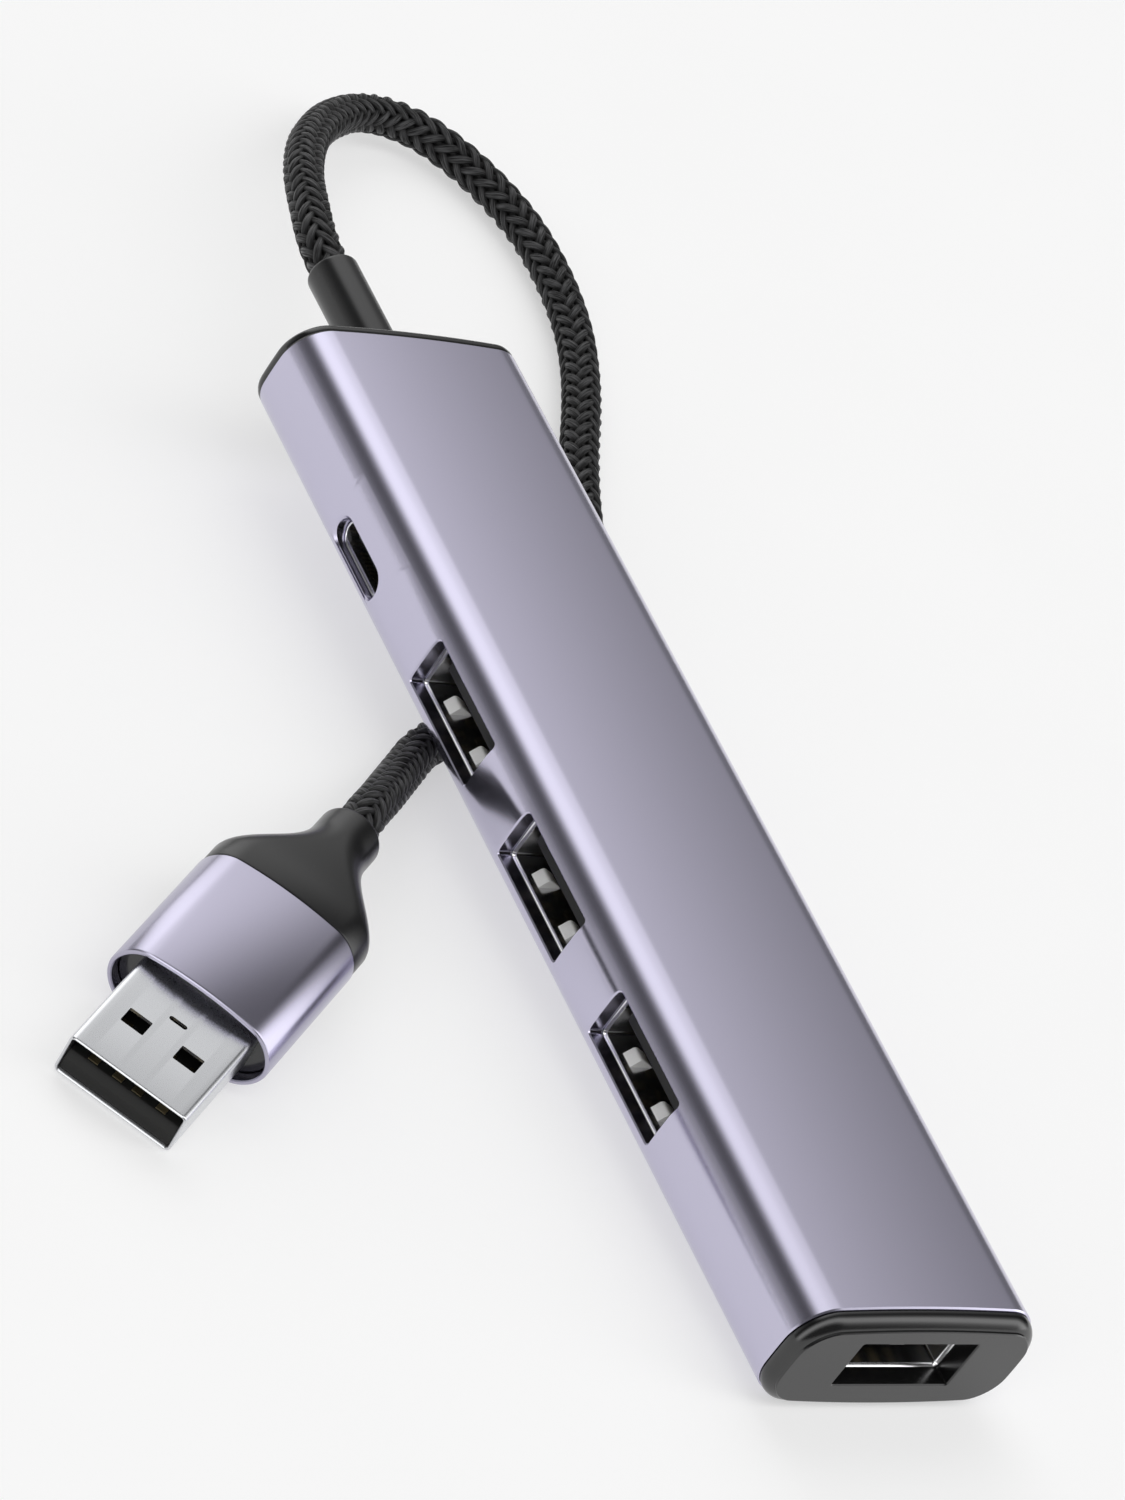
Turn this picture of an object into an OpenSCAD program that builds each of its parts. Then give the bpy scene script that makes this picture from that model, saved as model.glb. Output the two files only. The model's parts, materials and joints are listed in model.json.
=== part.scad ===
// Slim USB hub: an aluminium tube with three USB-A ports and a USB-C power inlet in its left
// side, a fourth USB-A port in the front cap, and a short braided lead with a USB-A plug.
// The hub leans on its own lead, which crosses under it. Millimetres, +Y towards the lead.

/* [Hub body] */
// Length over both end caps
hub_len = 120; // [118:0.5:124]
// Width of the tube
hub_w = 27.6; // [27:0.1:29]
// Thickness of the tube
hub_t = 11.4; // [11.2:0.1:12]
// Outer radius of the tube's long edges
edge_r = 4.2; // [3.6:0.1:4.6]
// Wall of the tube
wall = 1.2; // [1:0.05:1.3]
// How far the front cap stands out of the tube
front_lip = 2; // [1.6:0.1:2.4]
// How far the rear cap stands out of the tube
rear_lip = 1; // [0.8:0.1:1.4]

/* [Side ports] */
// Centre of the first side port, from the front face
port_first = 32.9; // [31:0.1:35]
// Distance between the side ports
port_pitch = 21; // [20:0.1:22]
// Length of a USB-A window
port_l = 13.1; // [12.8:0.05:13.3]
// Height of a USB-A window
port_h = 5.5; // [5.3:0.05:5.6]
// Height of the USB-A ports' centre above the underside
port_z = 6; // [5.9:0.05:6.1]
// How far the side ports' mouths lie below the outer side
port_inset = 1.7; // [1.5:0.1:2]
// Centre of the USB-C inlet, from the front face
inlet_y = 95.9; // [94:0.1:98]
// Height of the USB-C inlet's centre above the underside
inlet_z = 4.2; // [4.2:0.05:4.3]
// Length of the USB-C window
inlet_l = 9; // [8.8:0.1:9.1]
// Height of the USB-C window
inlet_h = 3.2; // [3.1:0.05:3.3]

/* [Lead] */
// Diameter of the braided lead
lead_d = 4.2; // [4:0.1:4.2]
// Diameter of the strain relief
relief_d = 5.2; // [5:0.1:6]
// Length of the strain relief outside the rear cap
relief_len = 14; // [12:0.5:16]

/* [Plug] */
// Width of the plug's steel shell
plug_w = 12; // [11.9:0.05:12]
// Height of the plug's steel shell
plug_h = 4.5; // [4.4:0.05:4.5]
// Length of the shell that shows
plug_len = 12; // [11.6:0.1:12.4]
// Width of the plug's aluminium sleeve
sleeve_w = 16.5; // [16:0.1:17]
// Thickness of the plug's aluminium sleeve
sleeve_t = 7.8; // [7.6:0.1:8]
// Length of the plug's aluminium sleeve
sleeve_len = 16; // [15.5:0.1:16.5]
// Length of the rubber boot behind the sleeve
boot_len = 14.5; // [14:0.5:15]
// Diameter of the boot's neck
neck_d = 6; // [5.6:0.1:6.6]

/* [Hidden] */
$fn = 48;
gap = 0.1;          // clearance between separate pieces
cut = 1;            // how far a cutting solid runs past a face
sheet = 0.3;        // thickness of the ports' and the plug's sheet steel

// The tube
tube_y0 = front_lip;
tube_y1 = hub_len - rear_lip;
inner_w = hub_w - 2 * wall;
cap_inset = 0.1;        // how far the caps' sides lie inside the tube's
face_inset = 0.45;      // the same for the front cap's outermost plate
face_t = 0.6;           // thickness of that plate
spigot_wall = 1;        // wall of the caps' collars inside the tube
front_spigot = 6;
rear_spigot = 7;
rear_plate = 1.5;       // thickness of the rear cap's plate inside the tube
label_y = [66, 102];    // blank recess for the rating label, across the flat of the underside
label_depth = 0.1;

// The board and what stands on it, above the underside
board_z = 1.6;
board_t = 1;
board_top = board_z + board_t;
board_y = [8.2, 106];
board_w = 22.6;
board_holes = [24, 102];    // where the board is pinned, along the hub
hole_x = 10;
hole_r = 0.8;

// The bracket over the board: a top plate, a wall down to the board and ribs to the blank side
frame_x = 9;
frame_y = [20, 108];
frame_t = 0.9;
frame_ribs = [22, 62, 100];
rib_w = 4;
rib_z = [5, 7];

// USB-A receptacle: 12.5 x 5.12 inside
mouth_w = 12.5;
mouth_h = 5.12;
shell_d = 14;
tongue_w = 11.1;
tongue_h = 1.84;
tongue_drop = 0.65;     // from the shell's ceiling to the tongue
tongue_set = 0.6;       // from the mouth to the tongue's tip
block_d = 4.5;          // insulator block that closes the shell's back
tab_x = 3.1;            // spring tabs, either side of the middle
tab_w = 1.6;
tab_y = [0.7, 3];
tab_h = 0.45;
side_mouth_x = -hub_w / 2 + port_inset;

// USB-C receptacle
inlet_d = 7.5;
inlet_shell_w = 8.94;
inlet_shell_h = 3.16;
inlet_mouth_x = -hub_w / 2 + wall + gap;
inlet_tongue_w = 6.7;
inlet_tongue_h = 0.7;
inlet_tongue_y = [0.8, 6];
round_gap = 0.01;       // keeps full-round ends just short of a half circle

// The hub leans back on its lead: its tube turns about its lower front edge
lean = 3.2;
lead_r = lead_d / 2;
relief_end = hub_len + relief_len;
relief_round = 0.6;     // round on the relief's free end
flange_r = relief_d / 2 + 1.4;
flange_y = [tube_y1 - 3.5, tube_y1 - 1.6];  // the relief's flange behind the rear cap's plate
lead_start = 109;       // where the lead ends inside the hub
crimp_t = 0.6;
crimp_len = 3.5;
wire_r = 0.38;
wire_end_y = 101;
mid_y = 66.5;           // from the lower front edge's foot to the middle of the leaning hub
hub_axis = [0, cos(lean), sin(lean)];
exit_pos = [0,
    tube_y0 + (relief_end - tube_y0) * cos(lean) - hub_t / 2 * sin(lean) - mid_y,
    (relief_end - tube_y0) * sin(lean) + hub_t / 2 * cos(lean)];

// The plug stands on the lower edge of its tip; the stiff lead holds its other end up
plug_turn = -51.8;
plug_rise = 9;
plug_tip = [-65, -33.7, plug_h / 2 * cos(plug_rise)];
plug_axis = [-sin(plug_turn) * cos(plug_rise), cos(plug_turn) * cos(plug_rise), sin(plug_rise)];
sleeve_y1 = plug_len + sleeve_len;
neck_y = sleeve_y1 + boot_len;
neck_pos = plug_tip + neck_y * plug_axis;
core_set = 1.2;         // how far the plug's core lies inside the sleeve's rim
plug_shell_len = 18;    // the shell with the part inside the core
plug_block_y = 14;      // where the insulator closes the shell
plug_tongue_t = 1.9;
plug_tongue_set = 0.4;
plug_lead_y = 21;       // where the lead ends inside the plug
sleeve_wall = 0.7;
latch_x = 2.7;          // square latch holes, either side of the middle
latch_w = 2.3;
latch_y = [4.9, 6.8];
slot_w = 1.8;
slot_y = [8.4, 8.9];

// The boot: a collar as wide as the sleeve that draws in along an S curve to a round neck
boot_collar = 2.6;
boot_neck = 2.4;        // length of the neck's straight end
boot_steps = 9;
boot_sides = 32;

// The lead's route between the strain relief and the boot, clockwise round a loop behind the
// hub, back under the hub and out to the plug
route = concat([exit_pos], [
    [0.6, 71.5, 13.1], [2.9, 77.5, 12.4], [6.3, 84.5, 11.1], [11.6, 92.2, 9.1],
    [17.6, 98.6, 6.9], [23.2, 103.2, 5.1], [27.8, 105.8, 4.0], [32.2, 106.7, 3.2],
    [36.4, 105.5, 2.7], [39.8, 102.3, 2.3], [42.1, 97.8, 2.1], [43.2, 92.6, 2.1],
    [43.2, 87.0, 2.1], [42.4, 81.2, 2.1], [40.8, 75.1, 2.1], [38.3, 68.9, 2.1],
    [35.3, 63.0, 2.1], [31.9, 57.0, 2.1], [28.6, 50.6, 2.1], [25.7, 44.0, 2.1],
    [23.4, 37.4, 2.1], [21.0, 31.0, 2.1], [17.6, 25.2, 2.1], [12.8, 20.7, 2.1],
    [7.0, 17.8, 2.1], [0.8, 16.2, 2.1], [-5, 14.5, 2.1], [-10.6, 11.6, 2.1],
    [-14.2, 8.5, 2.8], [-18.8, 4.3, 4.5], [-23.9, -0.4, 6.7], [-28.4, -4.4, 8.4]], [neck_pos]);
lead_sides = 12;

// ---- Helpers ----

// Puts hub pieces, drawn with the front face at y = 0 and the underside at z = 0, in place
module on_hub()
    translate([0, tube_y0 - mid_y, 0]) rotate([lean, 0, 0]) translate([0, -tube_y0, 0]) children();

// Puts plug pieces, drawn with the tip at y = 0 and the axis along +Y, in place
module on_plug()
    translate(plug_tip) rotate([plug_rise, 0, plug_turn]) children();

// Rectangle with round corners, about the origin
module round_rect(w, h, r) {
    square([w - 2 * r, h], center = true);
    square([w, h - 2 * r], center = true);
    for (x = [-1, 1], z = [-1, 1]) translate([x * (w / 2 - r), z * (h / 2 - r)]) circle(r);
}

// Extrudes a section drawn in X and Z from y0 to y1
module along_y(y0, y1)
    translate([0, y0, 0]) rotate([-90, 0, 0]) mirror([0, 1, 0]) linear_extrude(y1 - y0) children();

// Straight rod between two points
module rod(a, b, r) {
    d = b - a;
    translate(a) rotate([0, acos(d.z / norm(d)), atan2(d.y, d.x)]) cylinder(r = r, h = norm(d));
}

// Closed skin over a row of rings that all have the same number of points
module loft(rings) {
    sides = len(rings[0]);
    last = len(rings) - 1;
    walls = [for (i = [0:last - 1], k = [0:sides - 1]) let (n = (k + 1) % sides)
        [i * sides + k, i * sides + n, (i + 1) * sides + n, (i + 1) * sides + k]];
    ends = [[for (k = [sides - 1:-1:0]) k], [for (k = [0:sides - 1]) last * sides + k]];
    polyhedron([for (r = rings) each r], concat(walls, ends));
}

// Box given by its lowest and highest corners
module span(a, b) translate(a) cube(b - a);

// Section of the tube, shrunk on every side
module hub_section(shrink)
    translate([0, hub_t / 2]) round_rect(hub_w - 2 * shrink, hub_t - 2 * shrink, edge_r - shrink);

// Puts a receptacle, drawn with its mouth at y = 0 and facing -Y, in side port n
module at_side(n)
    translate([side_mouth_x, port_first + (n - 1) * port_pitch, port_z]) rotate([0, 0, -90]) children();

module at_front() translate([0, front_lip, port_z]) children();

module at_inlet() translate([inlet_mouth_x, inlet_y, inlet_z]) rotate([0, 0, -90]) children();

// ---- Casing ----

module housing() color([0.62, 0.61, 0.67]) on_hub() difference() {
    along_y(tube_y0, tube_y1) hub_section(0);
    along_y(tube_y0 - cut, tube_y1 + cut) hub_section(wall);
    for (n = [1:3]) at_side(n)
        translate([0, -port_inset, 0]) cube([port_l, 2 * port_inset + cut, port_h], center = true);
    at_inlet() along_y(-wall - cut, cut) round_rect(inlet_l, inlet_h, inlet_h / 2 - round_gap);
    span([-hub_w, label_y[0], -cut], [hub_w, label_y[1], label_depth]);
}

// Cap with a rounded front plate, a collar inside the tube, and the port's window
module front_cap() color([0.16, 0.16, 0.17]) on_hub() difference() {
    union() {
        along_y(0, face_t) hub_section(face_inset);
        along_y(face_t, tube_y0) hub_section(cap_inset);
        along_y(tube_y0, tube_y0 + front_spigot) hub_section(wall + gap);
    }
    along_y(tube_y0, tube_y0 + front_spigot + cut) hub_section(wall + gap + spigot_wall);
    at_front() cube([port_l, 2 * front_lip + cut, port_h], center = true);
}

module rear_cap() color([0.16, 0.16, 0.17]) on_hub() difference() {
    union() {
        along_y(tube_y1 - rear_spigot, tube_y1) hub_section(wall + gap);
        along_y(tube_y1, hub_len) hub_section(cap_inset);
    }
    along_y(tube_y1 - rear_spigot - cut, tube_y1 - rear_plate)
        hub_section(wall + gap + spigot_wall);
    on_axis(tube_y1 - rear_plate - cut) cylinder(d = relief_d + gap, h = rear_plate + rear_lip + 2 * cut);
}

// Plastic bracket over the ports and down the blank side, which holds the board down
module inner_frame() color([0.12, 0.12, 0.13]) on_hub() {
    top = hub_t - wall - gap;
    span([-frame_x, frame_y[0], top - frame_t], [frame_x, frame_y[1], top]);
    span([frame_x - 1, frame_y[0], board_top + gap], [frame_x, frame_y[1], top - frame_t]);
    for (y = frame_ribs)
        span([frame_x, y, rib_z[0]], [inner_w / 2 - gap, y + rib_w, rib_z[1]]);
}

// ---- Board ----

module circuit_board() color([0.05, 0.24, 0.14]) on_hub() difference() {
    span([-board_w / 2, board_y[0], board_z], [board_w / 2, board_y[1], board_top]);
    for (y = board_holes) translate([hole_x, y, board_z - cut]) cylinder(r = hole_r, h = board_t + 2 * cut);
}

module hub_controller() color([0.09, 0.09, 0.1]) on_hub()
    span([3, 50, board_top], [7.6, 57, board_top + 0.85]);

module power_switch() color([0.09, 0.09, 0.1]) on_hub()
    span([3.2, 84, board_top], [6.2, 87, board_top + 1]);

module crystal() color([0.78, 0.78, 0.76]) on_hub()
    span([3.4, 43, board_top], [6.6, 45.5, board_top + 0.8]);

module capacitors() color([0.72, 0.6, 0.42]) on_hub()
    for (y = [34, 37, 60, 63, 74, 77, 80]) span([4, y, board_top], [5.6, y + 0.8, board_top + 0.8]);

// ---- USB-A receptacles ----

// Folded steel shell with two spring tabs in its floor and two in its ceiling
module a_shell() color([0.75, 0.76, 0.78]) {
    difference() {
        along_y(0, shell_d) square([mouth_w + 2 * sheet, mouth_h + 2 * sheet], center = true);
        along_y(-cut, shell_d + cut) square([mouth_w, mouth_h], center = true);
    }
    for (x = [-tab_x, tab_x], side = [0, 1]) mirror([0, 0, side])
        span([x - tab_w / 2, tab_y[0], mouth_h / 2 - tab_h], [x + tab_w / 2, tab_y[1], mouth_h / 2]);
}

// Insulator: the tongue in the mouth and the block behind it
module a_tongue() color([0.13, 0.13, 0.12]) {
    top = mouth_h / 2 - tongue_drop;
    span([-tongue_w / 2, tongue_set, top - tongue_h], [tongue_w / 2, shell_d - block_d, top]);
    span([-mouth_w / 2 + gap / 2, shell_d - block_d, -mouth_h / 2 + gap / 2],
         [mouth_w / 2 - gap / 2, shell_d, mouth_h / 2 - gap / 2]);
}

// Four long contacts under the tongue, and five short ones nearer its tip
module a_contacts() color([0.83, 0.7, 0.38]) {
    under = mouth_h / 2 - tongue_drop - tongue_h;
    for (x = [-3.5, -1, 1, 3.5]) span([x - 0.5, 4.2, under - 0.15], [x + 0.5, 9.3, under]);
    for (x = [-4:2:4]) span([x - 0.4, 1.4, under - 0.1], [x + 0.4, 3.2, under]);
}

module side_shell(n) on_hub() at_side(n) a_shell();
module side_tongue(n) on_hub() at_side(n) a_tongue();
module side_contacts(n) on_hub() at_side(n) a_contacts();
module front_port_shell() on_hub() at_front() a_shell();
module front_port_tongue() on_hub() at_front() a_tongue();
module front_port_contacts() on_hub() at_front() a_contacts();

// ---- USB-C power inlet ----

module power_inlet_shell() color([0.75, 0.76, 0.78]) on_hub() at_inlet() difference() {
    along_y(0, inlet_d) round_rect(inlet_shell_w, inlet_shell_h, inlet_shell_h / 2 - round_gap);
    along_y(-cut, inlet_d + cut)
        round_rect(inlet_shell_w - 2 * sheet, inlet_shell_h - 2 * sheet,
            inlet_shell_h / 2 - sheet - round_gap);
}

module power_inlet_tongue() color([0.13, 0.13, 0.12]) on_hub() at_inlet() {
    span([-inlet_tongue_w / 2, inlet_tongue_y[0], -inlet_tongue_h / 2],
         [inlet_tongue_w / 2, inlet_tongue_y[1], inlet_tongue_h / 2]);
    along_y(inlet_tongue_y[1], inlet_d)
        round_rect(inlet_shell_w - 2 * sheet - gap, inlet_shell_h - 2 * sheet - gap,
            inlet_shell_h / 2 - sheet - gap / 2 - round_gap);
}

module power_inlet_contacts() color([0.83, 0.7, 0.38]) on_hub() at_inlet()
    for (i = [0:11], side = [0, 1]) mirror([0, 0, side])
        translate([(i - 5.5) * 0.5, 0, inlet_tongue_h / 2]) span([-0.13, 1.6, 0], [0.13, 5, 0.07]);

// ---- Lead ----

// Puts a turned piece, drawn about Z, round the lead's axis in the hub from y on
module on_axis(y) translate([0, y, hub_t / 2]) rotate([-90, 0, 0]) children();

// Moulded sleeve with a flange that sits behind the rear cap's wall
module strain_relief() color([0.13, 0.13, 0.14]) on_hub() on_axis(0) rotate_extrude() {
    r = relief_d / 2;
    shoulder = relief_end - relief_round;
    translate([lead_r, flange_y[0]]) square([flange_r - lead_r, flange_y[1] - flange_y[0]]);
    translate([lead_r, flange_y[1] - gap]) square([r - lead_r, shoulder - flange_y[1] + gap]);
    intersection() {
        translate([r - relief_round, shoulder]) circle(relief_round);
        translate([lead_r, shoulder - gap]) square([r, relief_round + gap]);
    }
}

// The lead's straight end in the relief and the hub
module lead_hub_end() color([0.1, 0.1, 0.11]) on_hub()
    on_axis(lead_start) cylinder(r = lead_r, h = relief_end - lead_start);

module lead_crimp() color([0.75, 0.76, 0.78]) on_hub() on_axis(lead_start + 0.5) difference() {
    cylinder(r = lead_r + crimp_t, h = crimp_len);
    translate([0, 0, -cut]) cylinder(r = lead_r, h = crimp_len + 2 * cut);
}

// Stripped wires from the lead's end down to the board
module lead_wires() color([0.7, 0.16, 0.12]) on_hub()
    for (i = [-2:2])
        rod([i * 0.8, lead_start - 0.05, hub_t / 2 - 0.3 * abs(i)],
            [i * 2.2, wire_end_y, board_top + wire_r + 0.07], wire_r);

// Ring of the lead's outline about one point of its route
function unit(v) = v / norm(v);
function heading(i) =
    i == 0 ? hub_axis : i == len(route) - 1 ? -plug_axis : unit(route[i + 1] - route[i - 1]);
function ring(i) = let (t = heading(i), s = unit(cross(t, [0, 0, 1])), u = cross(s, t))
    [for (k = [0:lead_sides - 1]) let (a = 360 * k / lead_sides)
        route[i] + lead_r * (s * sin(a) - u * cos(a))];

module lead() color([0.1, 0.1, 0.11]) loft([for (i = [0:len(route) - 1]) ring(i)]);

// ---- Plug ----

module sleeve_section(shrink)
    round_rect(sleeve_w - 2 * shrink, sleeve_t - 2 * shrink, sleeve_t / 2 - shrink - 0.05);

module plug_section(shrink)
    round_rect(plug_w - 2 * shrink, plug_h - 2 * shrink, max(0.5 - shrink, 0.15));

module plug_shell() color([0.78, 0.79, 0.8]) on_plug() difference() {
    along_y(0, plug_shell_len) plug_section(0);
    along_y(-cut, plug_shell_len + cut) plug_section(sheet);
    for (x = [-latch_x, latch_x])
        span([x - latch_w / 2, latch_y[0], -plug_h], [x + latch_w / 2, latch_y[1], plug_h]);
    span([-slot_w / 2, slot_y[0], 0], [slot_w / 2, slot_y[1], plug_h]);
}

// Insulator that fills the lower half of the shell
module plug_tongue() color([0.1, 0.1, 0.1]) on_plug() {
    half = plug_w / 2 - sheet - gap / 2;
    low = -plug_h / 2 + sheet + gap / 2;
    span([-half, plug_tongue_set, low], [half, plug_block_y, low + plug_tongue_t]);
    span([-half, plug_block_y, low], [half, plug_shell_len, -low]);
}

module plug_contacts() color([0.83, 0.7, 0.38]) on_plug() {
    top = -plug_h / 2 + sheet + gap / 2 + plug_tongue_t;
    for (x = [-3.5, -1, 1, 3.5]) span([x - 0.5, 1.2, top], [x + 0.5, 7.5, top + 0.12]);
    for (x = [-4:2:4]) span([x - 0.4, 9, top], [x + 0.4, 13, top + 0.2]);
}

module plug_sleeve() color([0.6, 0.59, 0.66]) on_plug() difference() {
    along_y(plug_len, sleeve_y1) sleeve_section(0);
    along_y(plug_len - cut, sleeve_y1 + cut) sleeve_section(sleeve_wall);
}

// Puts a turned piece, drawn about Z, round the plug's axis from y on
module on_plug_axis(y) on_plug() translate([0, y, 0]) rotate([-90, 0, 0]) children();

// Inner mould: holds the shell in front and the crimped lead behind
module plug_core() color([0.1, 0.1, 0.11]) difference() {
    on_plug() along_y(plug_len + core_set, sleeve_y1) sleeve_section(sleeve_wall + gap / 2);
    on_plug() along_y(plug_len, plug_shell_len + gap / 2) plug_section(-0.03);
    on_plug_axis(plug_lead_y) cylinder(r = lead_r, h = sleeve_y1);
    on_plug_axis(plug_lead_y + 1) cylinder(r = lead_r + crimp_t + gap / 2, h = crimp_len + 0.7);
}

module plug_crimp() color([0.75, 0.76, 0.78]) on_plug_axis(plug_lead_y + 1.1) difference() {
    cylinder(r = lead_r + crimp_t, h = crimp_len + 0.5);
    translate([0, 0, -cut]) cylinder(r = lead_r, h = crimp_len + 3 * cut);
}

module lead_plug_end() color([0.1, 0.1, 0.11])
    on_plug_axis(plug_lead_y + gap) cylinder(r = lead_r, h = neck_y - plug_lead_y - gap);

// Ring of the boot at y; f runs from 0 at the collar to 1 at the neck
function draw_in(f) = (1 + cos(180 * pow(f, 0.8))) / 2;
function boot_ring(y, f) = let (w = neck_d + (sleeve_w - 0.2 - neck_d) * draw_in(f),
        t = neck_d + (sleeve_t - 0.2 - neck_d) * draw_in(f))
    [for (k = [0:boot_sides - 1]) let (a = 360 * k / boot_sides)
        [t / 2 * cos(a) + (w - t) / 2 * sign(round(1000 * cos(a))), y, t / 2 * sin(a)]];
boot_rings = concat([boot_ring(sleeve_y1, 0)],
    [for (i = [0:boot_steps]) let (f = i / boot_steps)
        boot_ring(sleeve_y1 + boot_collar + (boot_len - boot_collar - boot_neck) * f, f)],
    [boot_ring(neck_y, 1)]);

module plug_boot() color([0.14, 0.14, 0.15]) difference() {
    on_plug() loft(boot_rings);
    on_plug_axis(sleeve_y1 - cut) cylinder(r = lead_r, h = boot_len + 2 * cut);
}

housing();
front_cap();
rear_cap();
inner_frame();
circuit_board();
hub_controller();
power_switch();
crystal();
capacitors();
side_shell(1);  // port_1_shell
side_tongue(1);  // port_1_tongue
side_contacts(1);  // port_1_contacts
side_shell(2);  // port_2_shell
side_tongue(2);  // port_2_tongue
side_contacts(2);  // port_2_contacts
side_shell(3);  // port_3_shell
side_tongue(3);  // port_3_tongue
side_contacts(3);  // port_3_contacts
front_port_shell();
front_port_tongue();
front_port_contacts();
power_inlet_shell();
power_inlet_tongue();
power_inlet_contacts();
strain_relief();
lead_hub_end();
lead_crimp();
lead_wires();
lead();
lead_plug_end();
plug_boot();
plug_sleeve();
plug_core();
plug_crimp();
plug_shell();
plug_tongue();
plug_contacts();
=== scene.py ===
"""Looks of a slim USB hub: aluminium tube, black end caps, four ports, braided lead with a plug."""

import json
import math

import bmesh
import bpy
import numpy as np
from mathutils import Matrix, Vector


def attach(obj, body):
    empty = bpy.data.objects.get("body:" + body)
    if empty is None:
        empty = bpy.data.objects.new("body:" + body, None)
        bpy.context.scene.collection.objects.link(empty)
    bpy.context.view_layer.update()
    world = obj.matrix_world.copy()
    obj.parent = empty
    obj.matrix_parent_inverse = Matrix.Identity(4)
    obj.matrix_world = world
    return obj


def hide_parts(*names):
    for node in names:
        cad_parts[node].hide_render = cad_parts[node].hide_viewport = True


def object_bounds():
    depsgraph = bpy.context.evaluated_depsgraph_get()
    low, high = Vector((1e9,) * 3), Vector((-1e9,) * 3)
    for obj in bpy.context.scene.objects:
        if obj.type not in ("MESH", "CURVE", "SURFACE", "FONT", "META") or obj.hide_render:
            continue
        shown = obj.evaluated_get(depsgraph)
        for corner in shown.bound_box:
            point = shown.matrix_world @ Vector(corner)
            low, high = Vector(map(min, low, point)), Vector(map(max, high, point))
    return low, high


MM = 0.001
WELD = 0.002
SHARP = math.radians(30)

# Camera: its axes and place in the row frame
CAMERA_PLACE = (-0.39964, -0.36904, 0.34748)
CAMERA_RIGHT = (0.78324, -0.41168, 0.46590)
CAMERA_UP = (-0.05444, 0.70107, 0.71101)
CAMERA_BACK = (-0.61934, -0.58225, 0.52669)
CAMERA_LENS = 168.83
CAMERA_SENSOR = 36.0

# Hub, in millimetres: X across, Y from the front face, Z from the underside
LEAN = math.radians(3.2)
LEAN_PIVOT_Y = 2.0
MIDDLE_Y = 66.5
HUB_W = 27.6
HUB_T = 11.8
HUB_RADIUS = 3.7
HUB_CROWN = 0.5
HUB_BULGE = 0.3
HUB_MID_Z = 5.75
TUBE_Y = (1.75, 119.0)
REAR_Y = 120.0
WALL = 1.2
PATCH_Y = 28
PATCH_Z = 18
PATCH_REACH = 1.4
CHAMFER = 0.14
INLET_CHAMFER = 0.26
WINDOW_L = 13.1
WINDOW_H = 5.5
WINDOW_CORNER = 0.4
WINDOW_BAND = (2.55, 9.35)
WINDOW_Y = (32.9, 53.9, 74.9)
PORT_Z = 6.0
INLET_L = 9.0
INLET_H = 3.2
INLET_Y = 95.9
INLET_Z = 4.2
PORT_MOUTH_X = -12.1
INLET_MOUTH_X = -12.5
COLLAR_X = -12.16
COLLAR_INSET = (1.35, 2.4)
FACE_DROP = 0.3
FACE_DROP_FROM = 1.8
LEAD_IN = 0.12
FRONT_COLLAR_Y = 6.0
REAR_COLLAR_Y = 112.0
REAR_FLOOR_Y = 117.5
FRONT_MOUTH_Y = 2.0
LABEL_Y = (66.0, 102.0)
LABEL_HALF = 9.0
LABEL_DEPTH = 0.1

# Lead and its relief
LEAD_R = 2.1
RELIEF_R = 2.6
RELIEF_END = 134.0
RELIEF_START = 115.6
RELIEF_FLANGE = (117.4, 4.0)
RELIEF_ROUND = 0.6
AXIS_Z = 5.7
EXIT = (0.0, 66.976, 13.06)
ROUTE = (
    (0.6, 71.5, 13.1), (2.9, 77.5, 12.4), (6.3, 84.5, 11.1), (11.6, 92.2, 9.1),
    (17.6, 98.6, 6.9), (23.2, 103.2, 5.1), (27.8, 105.8, 4.0), (32.2, 106.7, 3.2),
    (36.4, 105.5, 2.7), (39.8, 102.3, 2.3), (42.1, 97.8, 2.1), (43.2, 92.6, 2.1),
    (43.2, 87.0, 2.1), (42.4, 81.2, 2.1), (40.8, 75.1, 2.1), (38.3, 68.9, 2.1),
    (35.3, 63.0, 2.1), (31.9, 57.0, 2.1), (28.6, 50.6, 2.1), (25.7, 44.0, 2.1),
    (23.4, 37.4, 2.1), (21.0, 31.0, 2.1), (17.6, 25.2, 2.1), (12.8, 20.7, 2.1),
    (7.0, 17.8, 2.1), (0.8, 16.2, 2.1), (-5.0, 14.5, 2.1), (-10.6, 11.6, 2.1),
    (-14.2, 8.5, 2.8), (-18.8, 4.3, 4.5), (-23.9, -0.4, 6.7), (-28.4, -4.4, 8.4),
)

# Braid
CARRIERS = 8
BRAID_PITCH = 16.5
BRAID_STEP = 0.25
YARN_W = 1.0
YARN_LAY_R = 1.84
YARN_WAVE = 0.17
YARN_SECTION = ((-0.5, -0.3), (-0.4, -0.09), (-0.2, 0.05), (0.0, 0.08), (0.2, 0.05),
                (0.4, -0.09), (0.5, -0.3))
YARN_TOP_R = 2.04
CORE_R = 1.5
CORE_SIDES = 12
CORE_STRIDE = 4
CORE_GRAIN = 5.0

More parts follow.
